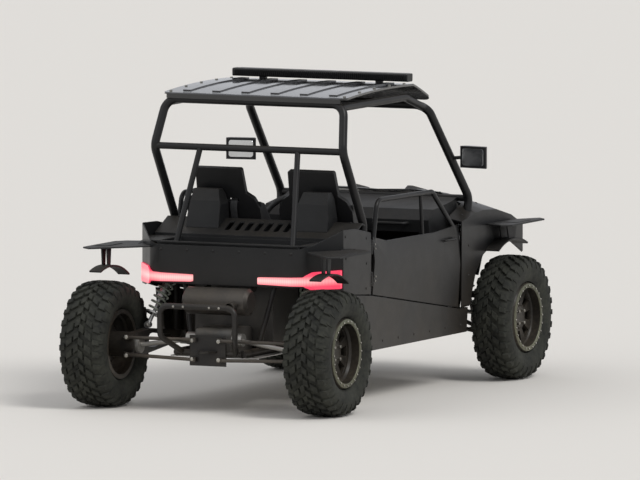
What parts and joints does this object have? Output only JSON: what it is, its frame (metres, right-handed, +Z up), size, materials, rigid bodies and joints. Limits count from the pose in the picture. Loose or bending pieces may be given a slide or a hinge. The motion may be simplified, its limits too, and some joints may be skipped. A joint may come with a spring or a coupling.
{
  "type": "dune buggy",
  "caption": "Two-seat off-road sport buggy with an open tube cage, flat roof with light bar, half doors, steered front wheels and wide knobbly tyres.",
  "frame": {"origin": "on the ground under the centre of the overall box", "axes": "+Y points forward, +X to the right-hand side, +Z up"},
  "size_m": [1.64, 3.2219, 1.8],
  "materials": {
    "black_paint": "satin black powder coat on the tubes",
    "body_plastic": "moulded black body plastic, dusty",
    "roof_plastic": "smooth black roof",
    "trim_plastic": "grained dark grey plastic",
    "seat_vinyl": "coarse black seat cloth",
    "seat_shell": "moulded seat shell",
    "alloy": "cast and machined alloy",
    "steel": "bare steel",
    "spring_steel": "grey painted spring",
    "rim_black": "black alloy rim with a grey outer ring",
    "tyre_rubber": "dusty tread rubber",
    "lamp_red": "lit red tail lamp lens",
    "lamp_clear": "clear headlamp lens",
    "cast": "cast housing"
  },
  "bodies": {
    "buggy": {"cage_rear_hoop": "black_paint", "cage_front_hoop": "black_paint", "cage_roof_rails": "black_paint", "cage_rear_braces": "black_paint", "chassis_frame": "black_paint", "front_frame": "black_paint", "rear_frame": "black_paint", "skid_plate": "alloy", "cabin_tub": "trim_plastic", "dashboard": "trim_plastic", "seat_shells": "seat_shell", "seat_base_right": "seat_vinyl", "seat_base_left": "seat_vinyl", "seat_back_right": "seat_vinyl", "seat_back_left": "seat_vinyl", "head_rest_right": "seat_vinyl", "head_rest_left": "seat_vinyl", "roof_panel": "roof_plastic", "light_bar": "black_paint", "hood": "body_plastic", "front_fenders": "body_plastic", "front_fascia": "body_plastic", "headlamps": "lamp_clear", "radiator": "alloy", "front_bumper": "black_paint", "fender_flares": "trim_plastic", "rocker_panels": "body_plastic", "rear_side_panels": "body_plastic", "cargo_bed": "trim_plastic", "engine_cover": "trim_plastic", "air_scoops": "trim_plastic", "rear_fascia": "body_plastic", "tail_lamps": "lamp_red", "rear_bumper": "black_paint", "engine_block": "cast", "gear_cases": "cast", "muffler": "steel", "front_arms": "black_paint", "trailing_arms": "black_paint", "rear_links": "alloy", "shock_absorbers": "alloy", "coil_springs": "spring_steel", "half_shafts": "steel", "steering_rack": "cast", "mirrors": "body_plastic"},
    "knuckle_right_body": {"knuckle_right": "cast"},
    "knuckle_left_body": {"knuckle_left": "cast"},
    "steering_links": {"tie_rods": "steel"},
    "steering_wheel_body": {"steering_wheel": "trim_plastic"},
    "door_right_body": {"door_right": "body_plastic"},
    "door_left_body": {"door_left": "body_plastic"},
    "wheel_front_right": {"rim_front_right": "rim_black", "tyre_front_right": "tyre_rubber"},
    "wheel_front_left": {"rim_front_left": "rim_black", "tyre_front_left": "tyre_rubber"},
    "wheel_rear_right": {"rim_rear_right": "rim_black", "tyre_rear_right": "tyre_rubber"},
    "wheel_rear_left": {"rim_rear_left": "rim_black", "tyre_rear_left": "tyre_rubber"}
  },
  "joints": [
    {"name": "steer_left", "type": "hinge", "parent": "buggy", "child": "knuckle_left_body", "pos_m": [-0.62, 1.181, 0.352], "axis": [0, 0, 1], "range_deg": [-28, 28]},
    {"name": "steer_right", "type": "hinge", "parent": "buggy", "child": "knuckle_right_body", "pos_m": [0.62, 1.181, 0.352], "axis": [0, 0, 1], "range_deg": [-28.1, 28.1]},
    {"name": "rack_slide", "type": "slide", "parent": "buggy", "child": "steering_links", "axis": [1, 0, 0], "range_m": [-0.0492, 0.0492]},
    {"name": "steering_wheel_turn", "type": "hinge", "parent": "buggy", "child": "steering_wheel_body", "pos_m": [-0.285, 0.326, 0.896], "axis": [0, -0.9095, 0.4158], "range_deg": [-225, 225]},
    {"name": "spin_front_right", "type": "hinge", "parent": "knuckle_right_body", "child": "wheel_front_right", "pos_m": [0.7, 1.181, 0.352], "axis": [1, 0, 0], "continuous": true},
    {"name": "spin_front_left", "type": "hinge", "parent": "knuckle_left_body", "child": "wheel_front_left", "pos_m": [-0.7, 1.181, 0.352], "axis": [1, 0, 0], "continuous": true},
    {"name": "spin_rear_right", "type": "hinge", "parent": "buggy", "child": "wheel_rear_right", "pos_m": [0.685, -1.259, 0.352], "axis": [1, 0, 0], "continuous": true},
    {"name": "spin_rear_left", "type": "hinge", "parent": "buggy", "child": "wheel_rear_left", "pos_m": [-0.685, -1.259, 0.352], "axis": [1, 0, 0], "continuous": true},
    {"name": "door_right_hinge", "type": "hinge", "parent": "buggy", "child": "door_right_body", "pos_m": [0.613, -0.528, 0.79], "axis": [0, 0, -1], "range_deg": [0, 75]},
    {"name": "door_left_hinge", "type": "hinge", "parent": "buggy", "child": "door_left_body", "pos_m": [-0.613, -0.528, 0.79], "axis": [0, 0, 1], "range_deg": [0, 75]}
  ],
  "couplings": [
    {"joint": "steer_right", "follows": "steer_left", "ratio": 1},
    {"joint": "rack_slide", "follows": "steer_left", "m_per_rad": 0.1},
    {"joint": "steering_wheel_turn", "follows": "steer_left", "ratio": 8}
  ]
}
